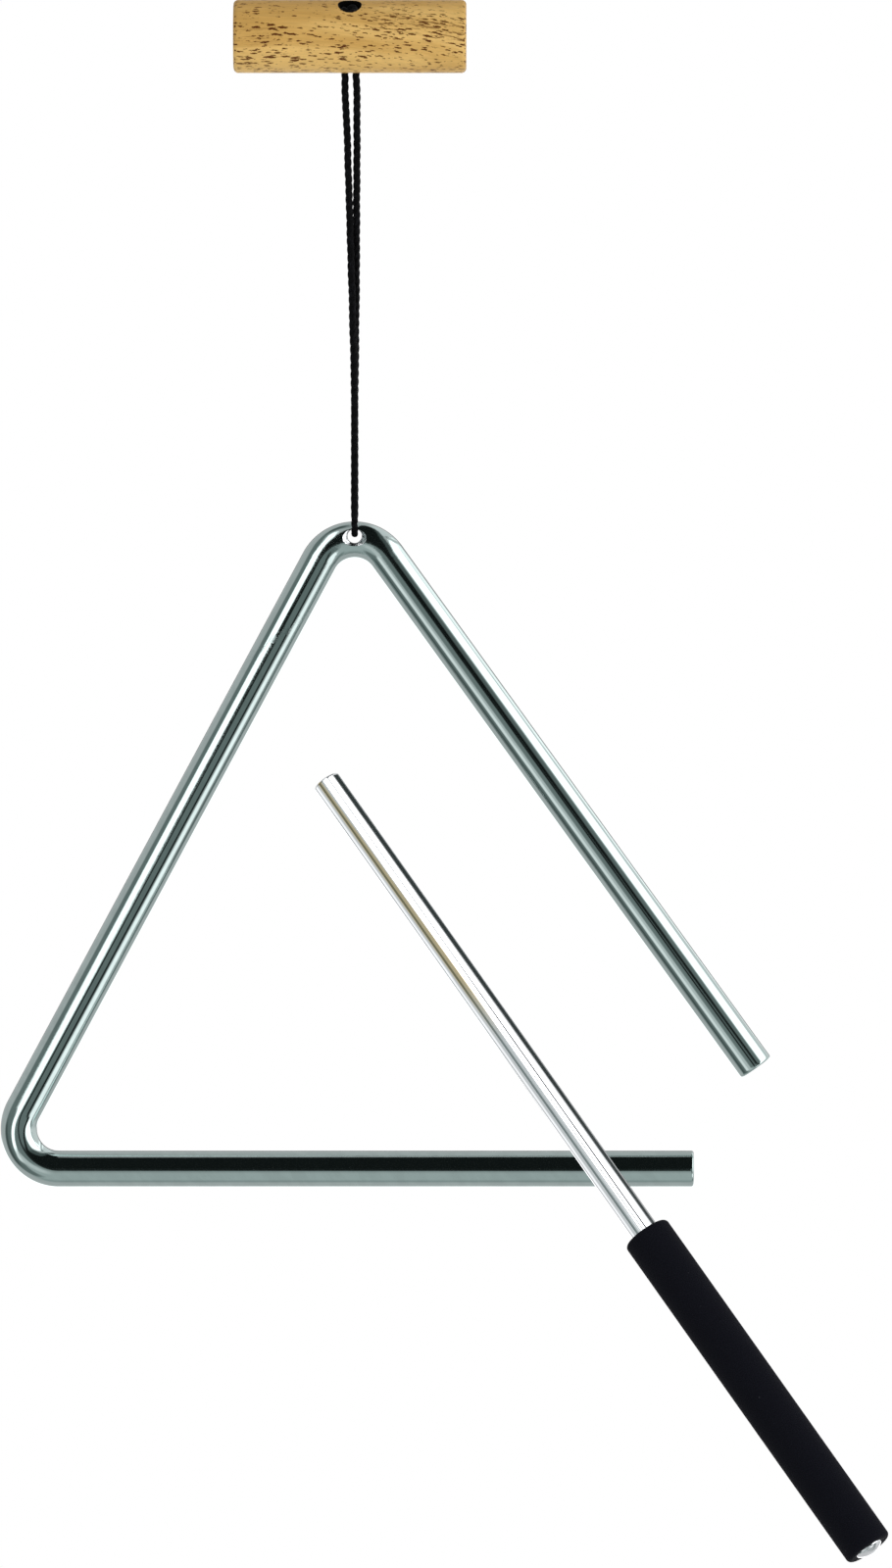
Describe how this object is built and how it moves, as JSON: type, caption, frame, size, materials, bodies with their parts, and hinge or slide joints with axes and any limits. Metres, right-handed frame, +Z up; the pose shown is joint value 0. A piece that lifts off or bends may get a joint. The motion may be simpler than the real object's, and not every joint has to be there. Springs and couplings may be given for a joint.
{
  "type": "musical triangle",
  "caption": "Bent steel rod triangle hung on a cord from a round wooden handle, with a separate steel beater that has a foam grip.",
  "frame": {"origin": "middle of the wooden handle, on its axis", "axes": "+Z up, from the triangle to the handle; +X along the handle, towards the triangle's open corner; -Y the front, where the beater is"},
  "size_m": [0.1903, 0.1283, 0.3348],
  "materials": {
    "handle_wood": "satin clear varnish",
    "black_cord": "twisted polyester cord",
    "plated_steel": "bright nickel plate",
    "beater_steel": "bright nickel plate",
    "grip_foam": "matte foam rubber"
  },
  "bodies": {
    "handle": {"wooden_handle": "handle_wood", "cord_knot": "black_cord", "cord_in_handle": "black_cord"},
    "cord_neck": {"cord_neck": "black_cord"},
    "cord": {"cord_strands": "black_cord"},
    "cord_loop": {"cord_loop": "black_cord"},
    "triangle": {"steel_triangle": "plated_steel"},
    "beater": {"beater_rod": "beater_steel", "beater_grip": "grip_foam"}
  },
  "joints": [
    {"name": "swing_to_and_fro", "type": "hinge", "parent": "handle", "child": "cord_neck", "pos_m": [0.0001, 0.0042, -0.008], "axis": [1, 0, 0], "range_deg": [-15, 15], "deforming": ["cord_in_handle", "cord_neck"]},
    {"name": "swing_sideways", "type": "hinge", "parent": "cord_neck", "child": "cord", "pos_m": [0.0002, 0.0042, -0.012], "axis": [0, 1, 0], "range_deg": [-30, 30], "deforming": ["cord_neck", "cord_strands"]},
    {"name": "spin_on_cord", "type": "hinge", "parent": "cord", "child": "cord_loop", "pos_m": [0.001, 0.0042, -0.092], "axis": [0, 0, 1], "range_deg": [-45, 45], "deforming": ["cord_strands", "cord_loop"]},
    {"name": "rock_on_cord", "type": "hinge", "parent": "cord_loop", "child": "triangle", "pos_m": [0.001, 0.0042, -0.1094], "axis": [0, 1, 0], "range_deg": [-15, 15], "deforming": ["cord_loop"]},
    {"name": "beater_away", "type": "slide", "parent": "handle", "child": "beater", "axis": [0, -1, 0], "range_m": [0, 0.15]}
  ]
}
